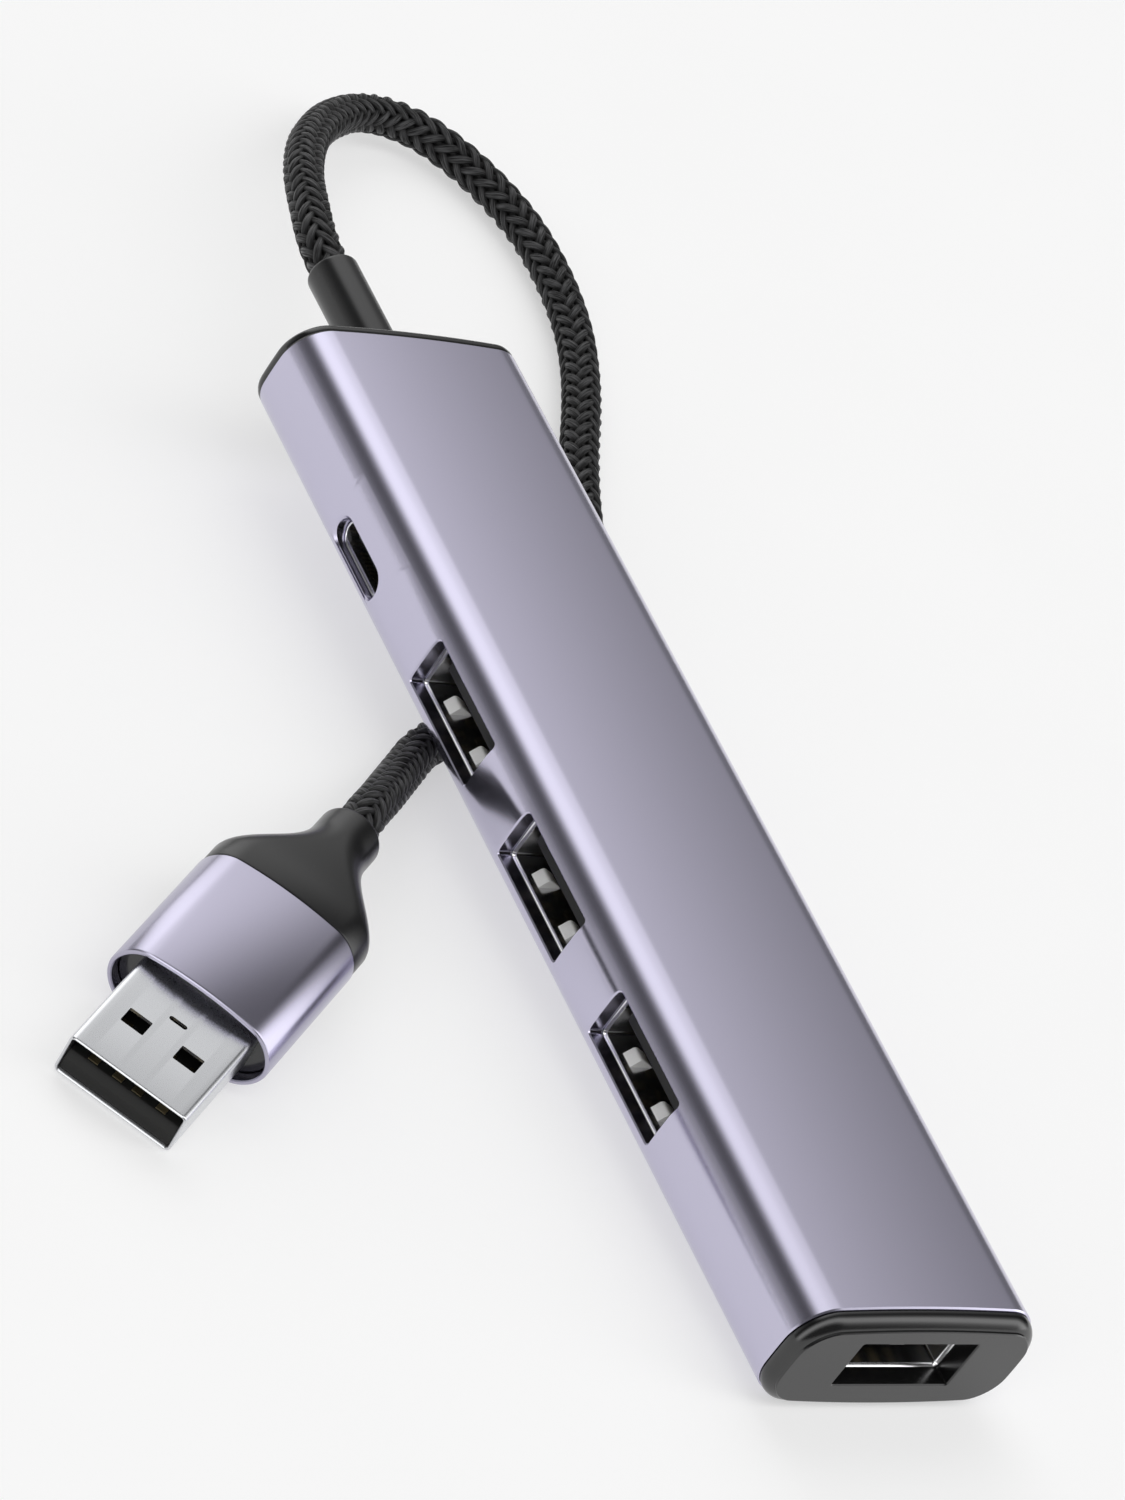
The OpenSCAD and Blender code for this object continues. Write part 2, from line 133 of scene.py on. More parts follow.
# Plug, in millimetres: X across, Y from the tip towards the lead, Z up from its axis
PLUG_TIP = (-65.0, -33.7, 2.222)
PLUG_TURN = math.radians(-51.8)
PLUG_RISE = math.radians(9.0)
PLUG_W = 12.0
PLUG_H = 4.5
PLUG_CORNER = 0.55
PLUG_LEN = 18.0
LATCH_PLACE = (2.7, 5.85)
LATCH_HALF = (1.15, 0.95)
SLOT_Y = 8.65
SLOT_HALF = (0.9, 0.25)
TONGUE_T = 1.9
SLEEVE_Y = (12.0, 28.0)
SLEEVE_W = 16.5
SLEEVE_T = 7.8
SLEEVE_CROWN = 0.9
CORE_Y = 13.2
BOOT_Y = (28.0, 42.5)
NECK_R = 3.0
SHEET = 0.3

# Receptacles, in millimetres, drawn about the middle of the mouth
A_MOUTH = (12.5, 5.12)
A_TONGUE_HALF = (5.55, 0.92)
TONGUE_DROP = 0.65
A_BLOCK_HALF = (6.2, 2.5)
A_BLOCK_Y = (9.5, 14.0)
TAB_X = 3.1
TAB_RISE = (0.97, 0.4)
SIDE_TAB_DEPTH = 0.95
FRONT_TAB_DEPTH = 2.3
C_SHELL = (8.94, 3.16)
C_TONGUE_HALF = (3.35, 0.35)
C_BLOCK_HALF = (4.1, 1.22)
C_BLOCK_Y = (6.0, 7.5)

# Studio: brightness over the angle round the hub's axis, in degrees from the right horizon over
# the top to the left one; how it fades lengthwise; and the strip light in front, by direction Y
SOFTBOX_PROFILE = (
    (0, 0.18), (20, 0.23), (30, 0.29), (34, 0.33), (38, 0.44), (42, 0.54), (46, 0.64),
    (51, 0.86), (57, 1.09), (63, 1.17), (75, 1.26), (81, 1.36), (88, 1.46), (94, 1.5),
    (106, 1.5), (110, 1.3), (116, 0.7), (121, 0.2), (126, 0.11), (136, 0.10), (142, 0.15),
    (148, 0.21), (153, 0.29), (159, 0.38), (165, 0.47), (171, 0.57), (177, 0.67),
)
LENGTHWISE_PROFILE = ((0.0, 0.08), (0.2, 0.14), (0.32, 0.5), (0.45, 0.92), (0.54, 1.0),
                      (0.62, 1.0), (0.78, 1.3), (1.0, 1.3))
FRONT_PROFILE = ((-1.0, 0.1), (-0.76, 0.1), (-0.62, 1.0), (-0.5, 2.2), (-0.3, 2.2), (-0.14, 0.5),
                 (0.0, 0.2))
FLOOR_GLOW = 0.5
FLOOR_HALF = 1600
FLOOR_GAP = 0.1


# ---------------------------------------------------------------- geometry helpers


def outline(half_w, half_h, radius, crown=0.0, bulge=0.0, n_w=60, n_h=32):
    """Rounded rectangle with bowed sides, as points (across, up) anticlockwise from the middle of
    its lower right corner. Each side has its own number of points, closer together in the corners
    unless the corners are the whole side or nothing."""
    w = half_w - bulge
    h = half_h - crown
    r = max(min(radius, w - 1e-5, h - 1e-5), 1e-6)
    centres = [(w - r, r - h), (w - r, h - r), (r - w, h - r), (r - w, r - h), (w - r, r - h)]
    out = []
    for side, n in enumerate((n_h, n_w, n_h, n_w)):
        half = np.radians(np.linspace(0, 45, 16))
        a = np.radians(90 * side - 45) + half
        b = np.radians(90 * side) + half
        first = np.array(centres[side]) + r * np.stack([np.cos(a), np.sin(a)], 1)
        last = np.array(centres[side + 1]) + r * np.stack([np.cos(b), np.sin(b)], 1)
        t = np.linspace(0, 1, 40)[1:-1, None]
        p = np.vstack([first, first[-1] * (1 - t) + last[0] * t, last])
        x, z = p.T
        p = np.stack([x * (1 + bulge / w * (1 - (z / h) ** 2)),
                      z * (1 + crown / h * (1 - (x / w) ** 2))], 1)
        along = np.r_[0, np.cumsum(np.linalg.norm(np.diff(p, axis=0), axis=1))]
        bend = along[len(half) - 1]
        k = n // 5
        if r < 0.01 or r > 0.9 * h:
            at = np.linspace(0, along[-1], n, endpoint=False)
        else:
            at = np.r_[np.linspace(0, bend, k, endpoint=False),
                       np.linspace(bend, along[-1] - bend, n - 2 * k, endpoint=False),
                       np.linspace(along[-1] - bend, along[-1], k, endpoint=False)]
        out.append(np.stack([np.interp(at, along, p[:, 0]), np.interp(at, along, p[:, 1])], 1))
    return np.vstack(out)


def outward(ring):
    """Unit normals of a closed anticlockwise 2-D ring."""
    d = np.roll(ring, -1, 0) - np.roll(ring, 1, 0)
    n = np.stack([d[:, 1], -d[:, 0]], 1)
    return n / np.linalg.norm(n, axis=1)[:, None]


def lay(ring, y, centre=(0.0, 0.0)):
    """A 2-D ring (across, up) as 3-D points at depth y."""
    ring = np.asarray(ring) + np.array(centre)
    return np.stack([ring[:, 0], np.full(len(ring), float(y)), ring[:, 1]], 1)


class Skin:
    """Points in millimetres and faces of one piece."""

    def __init__(self):
        self.points = []
        self.faces = []
        self.count = 0

    def add(self, points):
        points = np.asarray(points, float).reshape(-1, 3)
        base = self.count
        self.points.append(points)
        self.count += len(points)
        return base

    def grid(self, rows, closed=True):
        """Quads between neighbouring rows of points; a closed row joins its two ends."""
        rows = np.asarray(rows, float)
        n = rows.shape[1]
        base = self.add(rows)
        for i in range(len(rows) - 1):
            for k in range(n if closed else n - 1):
                a = base + i * n + k
                b = base + i * n + (k + 1) % n
                self.faces.append((a, b, b + n, a + n))

    def lid(self, ring):
        base = self.add(ring)
        self.faces.append(tuple(range(base, base + len(ring))))

    def solid(self, rows):
        """Closed body through the rows, with a lid on each end."""
        self.grid(rows)
        self.lid(rows[0])
        self.lid(rows[-1])


def hub_place(points):
    """Hub millimetres to metres in the row frame."""
    x, y, z = np.asarray(points).T
    c, s = math.cos(LEAN), math.sin(LEAN)
    along = y - LEAN_PIVOT_Y
    return MM * np.stack([x, LEAN_PIVOT_Y - MIDDLE_Y + along * c - z * s, along * s + z * c], 1)


def plug_place(points):
    """Plug millimetres to metres in the row frame."""
    x, y, z = np.asarray(points).T
    c, s = math.cos(PLUG_RISE), math.sin(PLUG_RISE)
    y, z = y * c - z * s, y * s + z * c
    c, s = math.cos(PLUG_TURN), math.sin(PLUG_TURN)
    return MM * (np.stack([x * c - y * s, x * s + y * c, z], 1) + np.array(PLUG_TIP))


def side_place(mouth_x, y, z):
    """Place of a receptacle drawn about its mouth, facing -Y, when it looks out of the left side."""
    def place(points):
        a, depth, up = np.asarray(points).T
        return hub_place(np.stack([mouth_x + depth, y - a, z + up], 1))
    return place


def front_place(points):
    """Place of the receptacle in the front cap."""
    a, depth, up = np.asarray(points).T
    return hub_place(np.stack([a, FRONT_MOUTH_Y + depth, PORT_Z + up], 1))


def welded_object(name, skin, place):
    """An object made from a skin, its seams welded and its normals turned outward."""
    mesh = bpy.data.meshes.new(name)
    mesh.from_pydata(place(np.vstack(skin.points)).tolist(), [], skin.faces)
    bm = bmesh.new()
    bm.from_mesh(mesh)
    bmesh.ops.remove_doubles(bm, verts=bm.verts, dist=WELD * MM)
    bmesh.ops.recalc_face_normals(bm, faces=bm.faces)
    bm.to_mesh(mesh)
    bm.free()
    obj = bpy.data.objects.new(name, mesh)
    bpy.context.scene.collection.objects.link(obj)
    return obj


def piece(name, skin, place, material, slot, stands_for):
    """A smooth piece of the hub made from a skin."""
    obj = welded_object(name, skin, place)
    obj.data.shade_smooth()
    obj.data.set_sharp_from_angle(angle=SHARP)
    return settle(obj, material, slot, stands_for)


def settle(obj, material, slot, stands_for):
    """Gives a piece its finish and body, and hides the CAD nodes it stands for."""
    obj.data.materials.clear()
    obj.data.materials.append(material)
    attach(obj, "root")
    if stands_for:
        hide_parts(*stands_for)
    return obj


def carve(obj, tool):
    """Cuts one closed mesh out of another for good."""
    step = obj.modifiers.new("cut", "BOOLEAN")
    step.operation = "DIFFERENCE"
    step.solver = "EXACT"
    step.object = tool
    bpy.context.view_layer.update()
    done = bpy.data.meshes.new_from_object(obj.evaluated_get(bpy.context.evaluated_depsgraph_get()))
    obj.modifiers.clear()
    name = obj.data.name
    obj.data = done
    obj.data.name = name
    obj.data.set_sharp_from_angle(angle=SHARP)
    bpy.data.objects.remove(tool)


# ---------------------------------------------------------------- materials


def shader(name, base, metallic, roughness, specular=0.5):
    """A principled material; returns it with its nodes, links and the shader node."""
    material = bpy.data.materials.new(name)
    material.use_nodes = True
    nodes = material.node_tree.nodes
    links = material.node_tree.links
    bsdf = nodes["Principled BSDF"]
    bsdf.inputs["Base Color"].default_value = (*base, 1)
    bsdf.inputs["Metallic"].default_value = metallic
    bsdf.inputs["Roughness"].default_value = roughness
    bsdf.inputs["Specular IOR Level"].default_value = specular
    return material, nodes, links, bsdf


def noise(nodes, links, scale):
    """Noise over the piece's own coordinates."""
    where = nodes.new("ShaderNodeTexCoord")
    tex = nodes.new("ShaderNodeTexNoise")
    tex.inputs["Scale"].default_value = scale
    tex.inputs["Detail"].default_value = 2.0
    links.new(where.outputs["Object"], tex.inputs["Vector"])
    return tex.outputs["Fac"]


def tint(nodes, links, bsdf, source, dark, light):
    """Base colour between two near shades, led by a 0-1 source."""
    mix = nodes.new("ShaderNodeMix")
    mix.data_type = "RGBA"
    mix.inputs["A"].default_value = (*dark, 1)
    mix.inputs["B"].default_value = (*light, 1)
    links.new(source, mix.inputs["Factor"])
    links.new(mix.outputs["Result"], bsdf.inputs["Base Color"])


def vary(nodes, links, source, low, high, socket):
    """A socket that runs between two values, led by a 0-1 source."""
    span = nodes.new("ShaderNodeMapRange")
    span.inputs["To Min"].default_value = low
    span.inputs["To Max"].default_value = high
    links.new(source, span.inputs["Value"])
    links.new(span.outputs["Result"], socket)


def bump(nodes, links, bsdf, source, strength, distance):
    """Fine relief, led by a 0-1 source."""
    node = nodes.new("ShaderNodeBump")
    node.inputs["Strength"].default_value = strength
    node.inputs["Distance"].default_value = distance
    links.new(source, node.inputs["Height"])
    links.new(node.outputs["Normal"], bsdf.inputs["Normal"])


def shade(base, share):
    """A lighter or darker shade of a colour."""
    return tuple(c * share for c in base)


def make_finish(name, base, metallic, rough, grain, spread=0.08, depth=0.0, **more):
    """A finish whose colour, roughness and fine relief vary with noise of the given grain."""
    material, nodes, links, bsdf = shader(name, base, metallic, rough, **more)
    fine = noise(nodes, links, grain)
    tint(nodes, links, bsdf, fine, shade(base, 1 - spread), shade(base, 1 + spread))
    vary(nodes, links, fine, rough * 0.9, min(1.0, rough * 1.1), bsdf.inputs["Roughness"])
    if depth:
        bump(nodes, links, bsdf, fine, 0.5, depth)
    return material


def make_braid_finish():
    """Black nylon: fine filaments along each yarn, with painted shade down in the gaps and a painted
    highlight on the yarn tops.
    """
    base = (0.014, 0.014, 0.0144)
    material, nodes, links, bsdf = shader("black_braid", base, 0.0, 0.45, specular=0.2)
    yarn = nodes.new("ShaderNodeAttribute")
    yarn.attribute_name = "yarn"
    parts = nodes.new("ShaderNodeSeparateXYZ")
    links.new(yarn.outputs["Vector"], parts.inputs["Vector"])
    tex = nodes.new("ShaderNodeTexNoise")
    tex.noise_dimensions = "2D"
    tex.inputs["Scale"].default_value = 1.0
    tex.inputs["Detail"].default_value = 2.0
    mapping = nodes.new("ShaderNodeMapping")
    mapping.inputs["Scale"].default_value = (8.0, 0.6, 1.0)
    links.new(yarn.outputs["Vector"], mapping.inputs["Vector"])
    links.new(mapping.outputs["Vector"], tex.inputs["Vector"])
    contrast = nodes.new("ShaderNodeMapRange")
    contrast.inputs["From Min"].default_value = 0.3
    contrast.inputs["From Max"].default_value = 0.72
    links.new(tex.outputs["Fac"], contrast.inputs["Value"])
    # Mask from the yarn's height, 0 down in the gaps and 1 on the tops: it leads the painted shade
    # and the painted highlight.
    painted_light_by_height = nodes.new("ShaderNodeMapRange")
    painted_light_by_height.interpolation_type = "SMOOTHSTEP"
    painted_light_by_height.inputs["From Min"].default_value = 0.5
    painted_light_by_height.inputs["From Max"].default_value = 1.0
    links.new(parts.outputs["Z"], painted_light_by_height.inputs["Value"])
    lit = nodes.new("ShaderNodeMath")
    lit.operation = "MULTIPLY"
    links.new(painted_light_by_height.outputs["Result"], lit.inputs[0])
    links.new(contrast.outputs["Result"], lit.inputs[1])
    # Painted shade at 0.15 of the base down in the gaps, painted highlight at six times the base on
    # the tops.
    tint(nodes, links, bsdf, lit.outputs["Value"], shade(base, 0.15), shade(base, 6.0))
    vary(nodes, links, lit.outputs["Value"], 0.6, 0.3, bsdf.inputs["Roughness"])
    bump(nodes, links, bsdf, contrast.outputs["Result"], 0.6, 0.00004)
    return material


def make_finishes():
    """Every finish by name: colour, metallic, roughness, grain, spread, relief depth."""
    return {
        "anodised_aluminium": make_finish("anodised_aluminium", (0.572, 0.55, 0.685), 1.0, 0.22,
                                          9000, 0.03, 0.000003),
        # Darker copy of the anodised aluminium for the plug's sleeve: painted shade.
        "sleeve_aluminium_painted_shade": make_finish("sleeve_aluminium_painted_shade", (0.44, 0.423, 0.525), 1.0, 0.22,
                                        9000, 0.03, 0.000003),
        "black_plastic": make_finish("black_plastic", (0.006, 0.006, 0.0062), 0.0, 0.2, 7000,
                                     0.15, 0.000002, specular=0.8),
        "insulator": make_finish("insulator", (0.01, 0.01, 0.0092), 0.0, 0.42, 4000,
                                 0.1, 0.000003, specular=0.25),
        "sheet_steel": make_finish("sheet_steel", (0.8, 0.8, 0.81), 1.0, 0.2, 6000, 0.04),
        # White non-metal finish for the steel spring tabs: a painted highlight standing in for their
        # glint.
        "tab_painted_highlight": make_finish("tab_painted_highlight", (0.97, 0.97, 0.95), 0.0, 0.35, 6000, 0.02),
        "plug_steel": make_finish("plug_steel", (0.66, 0.67, 0.69), 1.0, 0.28, 9000, 0.02),
        # Gold darkened well below real gold: painted shade for the shadow the contacts lie in.
        "contact_gold": make_finish("contact_gold", (0.3, 0.25, 0.15), 1.0, 0.35, 5000, 0.05),
        "board_green": make_finish("board_green", (0.02, 0.09, 0.045), 0.0, 0.4, 1500, 0.15),
        "chip_black": make_finish("chip_black", (0.02, 0.02, 0.022), 0.0, 0.5, 5000, 0.1),
        "capacitor_tan": make_finish("capacitor_tan", (0.42, 0.3, 0.17), 0.0, 0.45, 4000, 0.1),
        "black_rubber": make_finish("black_rubber", (0.009, 0.009, 0.0093), 0.0, 0.26, 6000,
                                    0.15, 0.000003, specular=0.55),
        "black_braid": make_braid_finish(),
        "wire_red": make_finish("wire_red", (0.35, 0.03, 0.02), 0.0, 0.45, 3000, 0.1),
    }


# ---------------------------------------------------------------- tube and caps


def hub_outline(inset=0.0, **more):
    """The hub's cross-section, drawn in by inset."""
    return outline(HUB_W / 2 - inset, HUB_T / 2 - inset, HUB_RADIUS - inset,
                   HUB_CROWN, HUB_BULGE, **more)


def left_side(ring, normal):
    """Returns a function that lays (y, z) pairs on the tube's left side, at some depth below it
    or pushed across the hub."""
    low, high = WINDOW_BAND
    up = ring[:, 1] + HUB_MID_Z
    left = np.flatnonzero((ring[:, 0] < -HUB_W / 4) & (up > low - 1.0) & (up < high + 1.0))
    left = left[np.argsort(up[left])]

    def on_side(yz, depth=0.0, push=0.0):
        y, z = np.asarray(yz, float).reshape(-1, 2).T
        x = np.interp(z, up[left], ring[left, 0])
        nx = np.interp(z, up[left], normal[left, 0])
        nz = np.interp(z, up[left], normal[left, 1])
        return np.stack([x - depth * nx + push, y, z - depth * nz], 1)

    return on_side


def window_rows(on_side, window, y0, y1):
    """Rings from the edge of a patch of side wall to its window, in through the wall, and back
    out behind it."""
    low, high = WINDOW_BAND
    y, z, half_l, half_h, r, edge = window
    square = outline((y1 - y0) / 2, (high - low) / 2, 0, n_w=PATCH_Y, n_h=PATCH_Z)
    square += np.array([y, (high + low) / 2])
    wide = outline(half_l + edge, half_h + edge, r + edge, n_w=PATCH_Y, n_h=PATCH_Z)
    wide += np.array([y, z])
    hole = outline(half_l, half_h, r, n_w=PATCH_Y, n_h=PATCH_Z) + np.array([y, z])
    rows = [on_side(square * (1 - t) + wide * t) for t in (0, 0.4, 0.75, 1)]
    rows.append(on_side(hole, push=edge))
    rows.append(np.stack([np.full(len(hole), COLLAR_X), hole[:, 0], hole[:, 1]], 1))
    rows.append(on_side(square, depth=WALL))
    return rows


def press_label(points, y):
    """Sinks the blank label field in the tube's underside."""
    if LABEL_Y[0] + 0.01 < y < LABEL_Y[1] - 0.01:
        flat = (points[:, 2] < 1) & (np.abs(points[:, 0]) < LABEL_HALF)
        points[flat, 2] += LABEL_DEPTH
    return points


def tube_skin():
    """Tube with a wall, chamfered ends and windows, and a shallow label recess underneath."""
    skin = Skin()
    ring = hub_outline(n_w=90, n_h=72)
    normal = outward(ring)
    on_side = left_side(ring, normal)
    low, high = WINDOW_BAND
    start, end = TUBE_Y[0] + CHAMFER, TUBE_Y[1] - CHAMFER
    windows = [(y, PORT_Z, WINDOW_L / 2, WINDOW_H / 2, WINDOW_CORNER, CHAMFER) for y in WINDOW_Y]
    windows.append((INLET_Y, INLET_Z, INLET_L / 2, INLET_H / 2, INLET_H / 2, INLET_CHAMFER))
    z_lines = np.linspace(low, high, PATCH_Z + 1)
    y_lines = {start, LABEL_Y[0], LABEL_Y[0] + 0.05, LABEL_Y[1] - 0.05, LABEL_Y[1], end}
    edges = [start]
    for window in windows:
        y0, y1 = window[0] - window[2] - PATCH_REACH, window[0] + window[2] + PATCH_REACH
        y_lines |= set(np.linspace(y0, y1, PATCH_Y + 1))
        edges += [y0, y1]
        skin.grid(window_rows(on_side, window, y0, y1))
    edges.append(end)
    y_lines = np.array(sorted(y_lines))
    for y0, y1 in zip(edges[::2], edges[1::2]):
        inside = y_lines[(y_lines >= y0 - 1e-9) & (y_lines <= y1 + 1e-9)]
        for depth in (0.0, WALL):
            skin.grid([on_side(np.stack([np.full(len(z_lines), y), z_lines], 1), depth)
                       for y in inside], closed=False)

    up = ring[:, 1] + HUB_MID_Z
    order = np.flatnonzero(~((ring[:, 0] < 0) & (up > low) & (up < high)))
    gap = np.flatnonzero(np.diff(order) > 1)[0] + 1
    order = np.r_[order[gap:], order[:gap]]

    def around(y, depth):
        """The tube's section without the band of windows."""
        p = ring[order] - depth * normal[order]
        mid = np.stack([p[:, 0], np.full(len(p), y), p[:, 1] + HUB_MID_Z], 1)
        ends = on_side([(y, low), (y, high)], depth)
        points = np.vstack([ends[:1], mid, ends[1:]])
        return press_label(points, y) if depth == 0 else points

    def whole(y, depth):
        """The tube's full section."""
        strip = on_side(np.stack([np.full(PATCH_Z - 1, y), z_lines[-2:0:-1]], 1), depth)
        return np.vstack([around(y, depth), strip])

    for depth in (0.0, WALL):
        skin.grid([around(y, depth) for y in y_lines], closed=False)
    for y, inner in ((TUBE_Y[0], start), (TUBE_Y[1], end)):
        skin.grid([whole(inner, 0.0), whole(y, CHAMFER), whole(y, WALL - CHAMFER),
                   whole(inner, WALL)])
    return skin


def front_cap_skin():
    """Front cap: rounded band, crisp edge, flat face with the port's window, collar behind."""
    skin = Skin()
    band = ((FRONT_COLLAR_Y, COLLAR_INSET[0]), (1.95, COLLAR_INSET[0]), (1.8, 1.1),
            (1.72, 0.3), (1.6, 0.16), (1.4, 0.12), (1.2, 0.13), (1.02, 0.17), (0.86, 0.23),
            (0.71, 0.31), (0.58, 0.41), (0.47, 0.52), (0.38, 0.64), (0.3, 0.77), (0.25, 0.88),
            (0.08, 0.9), (0.0, 0.97))
    rows = []
    for y, inset in band:
        low = FACE_DROP * max(0.0, 1 - y / FACE_DROP_FROM)
        ring = outline(HUB_W / 2 - inset, HUB_T / 2 - inset - low / 2,
                       HUB_RADIUS - inset, HUB_CROWN, HUB_BULGE)
        rows.append(lay(ring, y, (0, HUB_MID_Z - low / 2)))
    hole = outline(WINDOW_L / 2, WINDOW_H / 2, 0.2)
    wide = outline(WINDOW_L / 2 + LEAD_IN, WINDOW_H / 2 + LEAD_IN, 0.3)
    face = rows[-1]
    mouth = [lay(wide, 0.0, (0, PORT_Z)), lay(hole, LEAD_IN, (0, PORT_Z)),
             lay(hole, FRONT_MOUTH_Y, (0, PORT_Z))]
    rows += [face * 0.5 + mouth[0] * 0.5] + mouth
    back = hub_outline(COLLAR_INSET[1])
    rows += [lay(back, y, (0, HUB_MID_Z)) for y in (FRONT_MOUTH_Y + 0.05, FRONT_COLLAR_Y)]
    skin.grid(rows + rows[:1])
    return skin


def rear_cap_skin():
    """Rear cap: thin rounded band, flat back with the relief's hole, collar in front."""
    skin = Skin()
    band = ((REAR_COLLAR_Y, COLLAR_INSET[0]), (118.8, COLLAR_INSET[0]), (118.95, 1.1),
            (118.98, 0.12), (119.1, 0.05), (119.5, 0.03), (119.75, 0.12), (119.92, 0.3),
            (REAR_Y, 0.55))
    rows = [lay(hub_outline(inset), y, (0, HUB_MID_Z)) for y, inset in band]
    hole = outline(RELIEF_R + 0.05, RELIEF_R + 0.05, RELIEF_R)
    rows += [lay(hole, y, (0, AXIS_Z)) for y in (REAR_Y, REAR_FLOOR_Y)]
    back = hub_outline(COLLAR_INSET[1])
    rows += [lay(back, y, (0, HUB_MID_Z)) for y in (REAR_FLOOR_Y, REAR_COLLAR_Y)]
    skin.grid(rows + rows[:1])
    return skin


# ---------------------------------------------------------------- ports


def mouth_tab(skin, x, side, depth, rise):
    """Spring tab on the floor or ceiling of a receptacle: a steep face towards the mouth, then a
    knee and a slope back to the wall."""
    profile = ((0.0, 0.0), (0.05, 0.09), (0.6, 0.87), (0.7, 0.96), (0.82, 1.0), (1.1, 0.94),
               (2.2, 0.3), (2.5, 0.0))
    across = ((-0.8, 0.0), (-0.79, 0.9), (-0.72, 1.0), (0.72, 1.0), (0.79, 0.9), (0.8, 0.0))
    wall = A_MOUTH[1] / 2
    rows = [[(x + u, depth + y, side * (wall - rise * h * share)) for u, share in across]
            for y, h in profile]
    skin.grid(rows, closed=False)


def a_shell_skin():
    """Folded steel shell of a USB-A receptacle, with a flared lip."""
    skin = Skin()
    w, h = A_MOUTH[0] / 2, A_MOUTH[1] / 2
    steps = ((14.0, SHEET), (0.06, SHEET), (0.0, 0.25), (0.0, 0.2), (0.08, 0.13), (0.3, 0.03),
             (0.42, 0.0), (14.0, 0.0))
    rows = [lay(outline(w + out, h + out, 0.3 + out, n_w=24, n_h=14), y) for y, out in steps]
    skin.grid(rows + rows[:1])
    return skin


def a_tabs_skin(depth):
    """The receptacle's four spring tabs, two on its floor and two low ones on its ceiling."""
    skin = Skin()
    for x in (-TAB_X, TAB_X):
        for side, rise in zip((-1, 1), TAB_RISE):
            mouth_tab(skin, x, side, depth, rise)
    return skin


def tongue_and_block(steps, tongue, block, block_y, corners, points, centre=(0.0, 0.0)):
    """Contact tongue with rounded edges, and the block behind it; half sizes."""
    skin = Skin()
    skin.solid([lay(outline(tongue[0] - i, tongue[1] - i, corners[0], n_w=points[0],
                            n_h=points[1]), y, centre) for y, i in steps])
    skin.solid([lay(outline(*block, corners[1], n_w=points[0], n_h=points[2]), y)
                for y in block_y])
    return skin


def a_tongue_skin():
    """USB-A: the tongue hangs a little under the mouth's ceiling."""
    steps = ((0.6, 0.14), (0.63, 0.06), (0.72, 0.0), (A_BLOCK_Y[0], 0.0))
    mid = A_MOUTH[1] / 2 - TONGUE_DROP - A_TONGUE_HALF[1]
    return tongue_and_block(steps, A_TONGUE_HALF, A_BLOCK_HALF, A_BLOCK_Y, (0.15, 0.2),
                            (20, 8, 8), (0, mid))


def c_shell_skin():
    """Drawn steel shell of the USB-C receptacle."""
    skin = Skin()
    w, h = C_SHELL[0] / 2, C_SHELL[1] / 2
    steps = ((7.5, 0.0), (0.16, 0.0), (0.05, 0.03), (0.0, 0.1), (0.0, 0.2), (0.05, 0.27),
             (0.16, SHEET), (7.5, SHEET))
    rows = [lay(outline(w - i, h - i, h - i, n_w=24, n_h=16), y) for y, i in steps]
    skin.grid(rows + rows[:1])
    return skin


def c_tongue_skin():
    """USB-C: the tongue stands in the middle of the mouth."""
    steps = ((0.8, 0.12), (0.83, 0.05), (0.9, 0.0), (C_BLOCK_Y[0], 0.0))
    return tongue_and_block(steps, C_TONGUE_HALF, C_BLOCK_HALF, C_BLOCK_Y, (0.12, 1.2),
                            (16, 6, 10))


# ---------------------------------------------------------------- lead


def turned(profile, sides=48):
    """Rings of a body of revolution about the lead's axis in the hub: (y, radius) pairs."""
    a = np.linspace(0, 2 * math.pi, sides, endpoint=False)
    circle = np.stack([np.cos(a), np.sin(a)], 1)
    return [lay(circle * r, y, (0, AXIS_Z)) for y, r in profile]


def relief_skin():
    """Strain relief: a flange inside the rear cap, a tube outside it with a rounded end."""
    skin = Skin()
    turns = np.radians(np.linspace(0, 75, 7))
    end = [(RELIEF_END - RELIEF_ROUND * (1 - math.sin(a)),
            RELIEF_R - RELIEF_ROUND * (1 - math.cos(a))) for a in turns]
    flange_y, flange_r = RELIEF_FLANGE
    bore = LEAD_R - 0.1
    profile = [(RELIEF_START, LEAD_R), (RELIEF_START, flange_r), (flange_y, flange_r),
               (flange_y, RELIEF_R)] + end
    profile += [(RELIEF_END + 0.02, LEAD_R + 0.02), (RELIEF_END - 1.0, bore), (RELIEF_START, bore)]
    rows = turned(profile)
    skin.grid(rows + rows[:1])
    return skin


def hub_heading():
    """Direction in which the lead leaves the hub."""
    return np.array([0.0, math.cos(LEAN), math.sin(LEAN)])


def plug_axis():
    """Direction from the plug's tip towards the lead."""
    flat = math.cos(PLUG_RISE)
    return np.array([-math.sin(PLUG_TURN) * flat, math.cos(PLUG_TURN) * flat,
                     math.sin(PLUG_RISE)])


